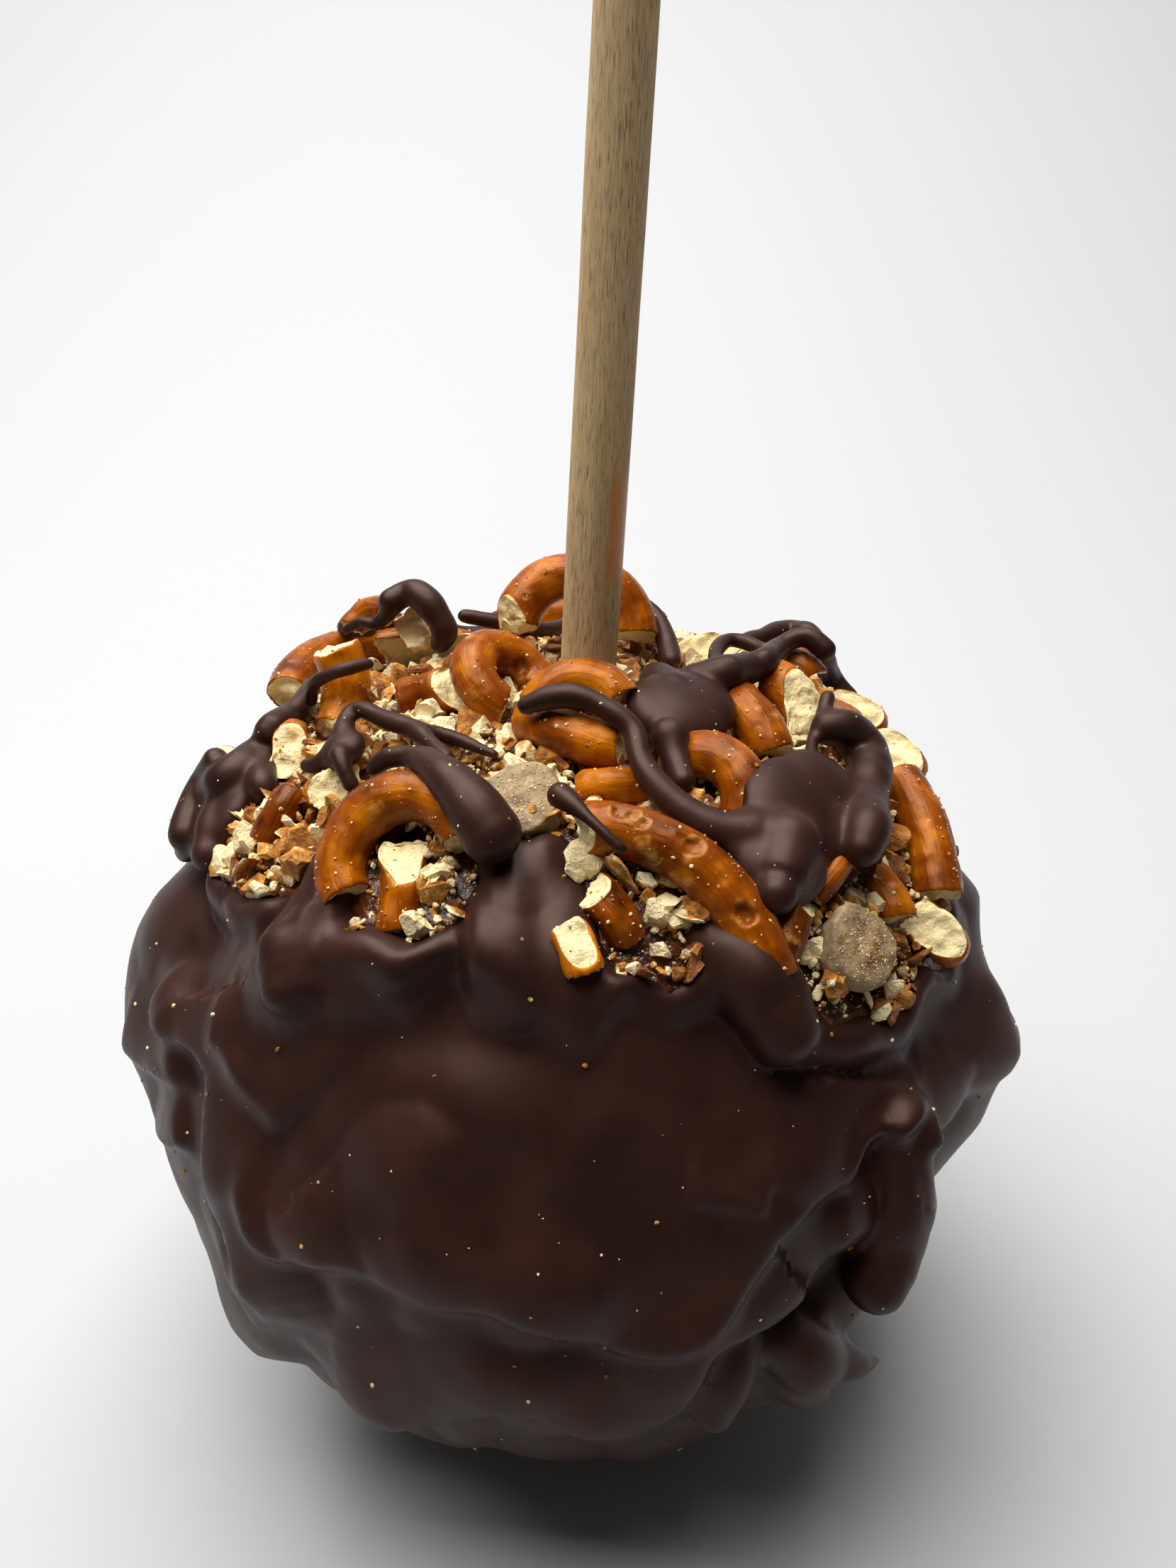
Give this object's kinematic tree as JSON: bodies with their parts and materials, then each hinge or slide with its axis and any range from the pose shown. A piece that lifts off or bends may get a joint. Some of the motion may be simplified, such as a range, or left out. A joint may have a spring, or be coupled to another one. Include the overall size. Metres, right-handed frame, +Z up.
{
  "type": "caramel apple",
  "caption": "Round lumpy apple in a dark chocolate coat, topped with broken pretzels, chocolate chips and drizzle, with a wooden stick standing in its top.",
  "frame": {"origin": "centre of the flat spot under the apple, where it rests", "axes": "+Z up along the stick, which leans about 3 degrees towards +X; -Y is the side with the long pretzel arc"},
  "size_m": [0.0919, 0.0907, 0.1718],
  "materials": {
    "stick_wood": "bare, fine grain",
    "caramel": "sticky gloss under crumbs",
    "dark_chocolate": "satin",
    "chocolate_chip": "dull, dusted with crumbs",
    "pretzel": "baked, semi-gloss"
  },
  "bodies": {
    "root": {"stick": "stick_wood", "caramel_apple": "caramel", "chocolate_coat": "dark_chocolate", "chocolate_chip_centre": "chocolate_chip", "chocolate_chip_right": "chocolate_chip", "drizzle_back": "dark_chocolate", "drizzle_back_right": "dark_chocolate", "drizzle_back_swirl": "dark_chocolate", "drizzle_band_left": "dark_chocolate", "drizzle_centre_pool": "dark_chocolate", "drizzle_fat_drop": "dark_chocolate", "drizzle_knot": "dark_chocolate", "drizzle_left_edge": "dark_chocolate", "drizzle_left_swirl": "dark_chocolate", "drizzle_round_blob": "dark_chocolate", "drizzle_strip_behind": "dark_chocolate", "drizzle_teardrop": "dark_chocolate", "pretzel_arc_front": "pretzel", "pretzel_arch_back_left": "pretzel", "pretzel_arch_back_right": "pretzel", "pretzel_arch_behind_stick": "pretzel", "pretzel_arch_front_left": "pretzel", "pretzel_bar_back": "pretzel", "pretzel_bar_back_left": "pretzel", "pretzel_bar_right": "pretzel", "pretzel_bulb_at_rim": "pretzel", "pretzel_chip_back_left": "pretzel", "pretzel_chip_by_stick": "pretzel", "pretzel_chip_far_left": "pretzel", "pretzel_chip_in_knot": "pretzel", "pretzel_chip_right_back": "pretzel", "pretzel_chip_right_edge": "pretzel", "pretzel_chips_back_right": "pretzel", "pretzel_chunk_back": "pretzel", "pretzel_chunk_below_arc": "pretzel", "pretzel_chunk_left_brown": "pretzel", "pretzel_chunk_left_bulb": "pretzel", "pretzel_chunk_left_cream": "pretzel", "pretzel_chunk_left_upright": "pretzel", "pretzel_chunk_right_brown": "pretzel", "pretzel_chunk_right_cream": "pretzel", "pretzel_chunk_right_gold": "pretzel", "pretzel_chunk_under_rope": "pretzel", "pretzel_flake_right": "pretzel", "pretzel_hook_left_of_stick": "pretzel", "pretzel_hook_right": "pretzel", "pretzel_knot_lower": "pretzel", "pretzel_knot_upper": "pretzel", "pretzel_post_front_left": "pretzel", "pretzel_skin_right": "pretzel", "pretzel_strand_right_centre": "pretzel", "pretzel_wedge_gold": "pretzel", "pretzel_wedge_left": "pretzel", "pretzel_wedge_right": "pretzel"}
  },
  "joints": []
}
